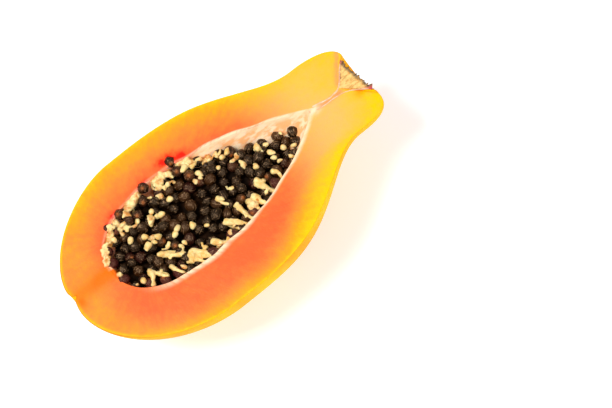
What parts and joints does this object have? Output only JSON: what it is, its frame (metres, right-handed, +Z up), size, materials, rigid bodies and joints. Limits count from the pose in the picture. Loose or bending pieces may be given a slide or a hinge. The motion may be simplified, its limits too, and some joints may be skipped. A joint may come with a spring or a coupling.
{
  "type": "papaya half",
  "caption": "Ripe papaya cut lengthwise into a half, lying cut face up, with a seed-filled hollow and a short neck ending in a dried stem scar.",
  "frame": {"origin": "middle of the fruit's length and width, on the surface it rests on", "axes": "+X along the fruit from the blossom end to the stem end, +Z up, out of the cut face; the fuller side faces -Y"},
  "size_m": [0.1898, 0.1066, 0.0547],
  "materials": {
    "flesh": "moist ripe flesh, coral round the hollow and golden towards the thin yellow skin",
    "seeds": "wet brown-black wrinkled seeds with cream pulp strands between them",
    "stem_scar": "dry tan fibres with a grey-brown corky edge"
  },
  "bodies": {
    "root": {"flesh": "flesh", "seed_heap": "seeds", "stem_scar": "stem_scar"}
  },
  "joints": []
}
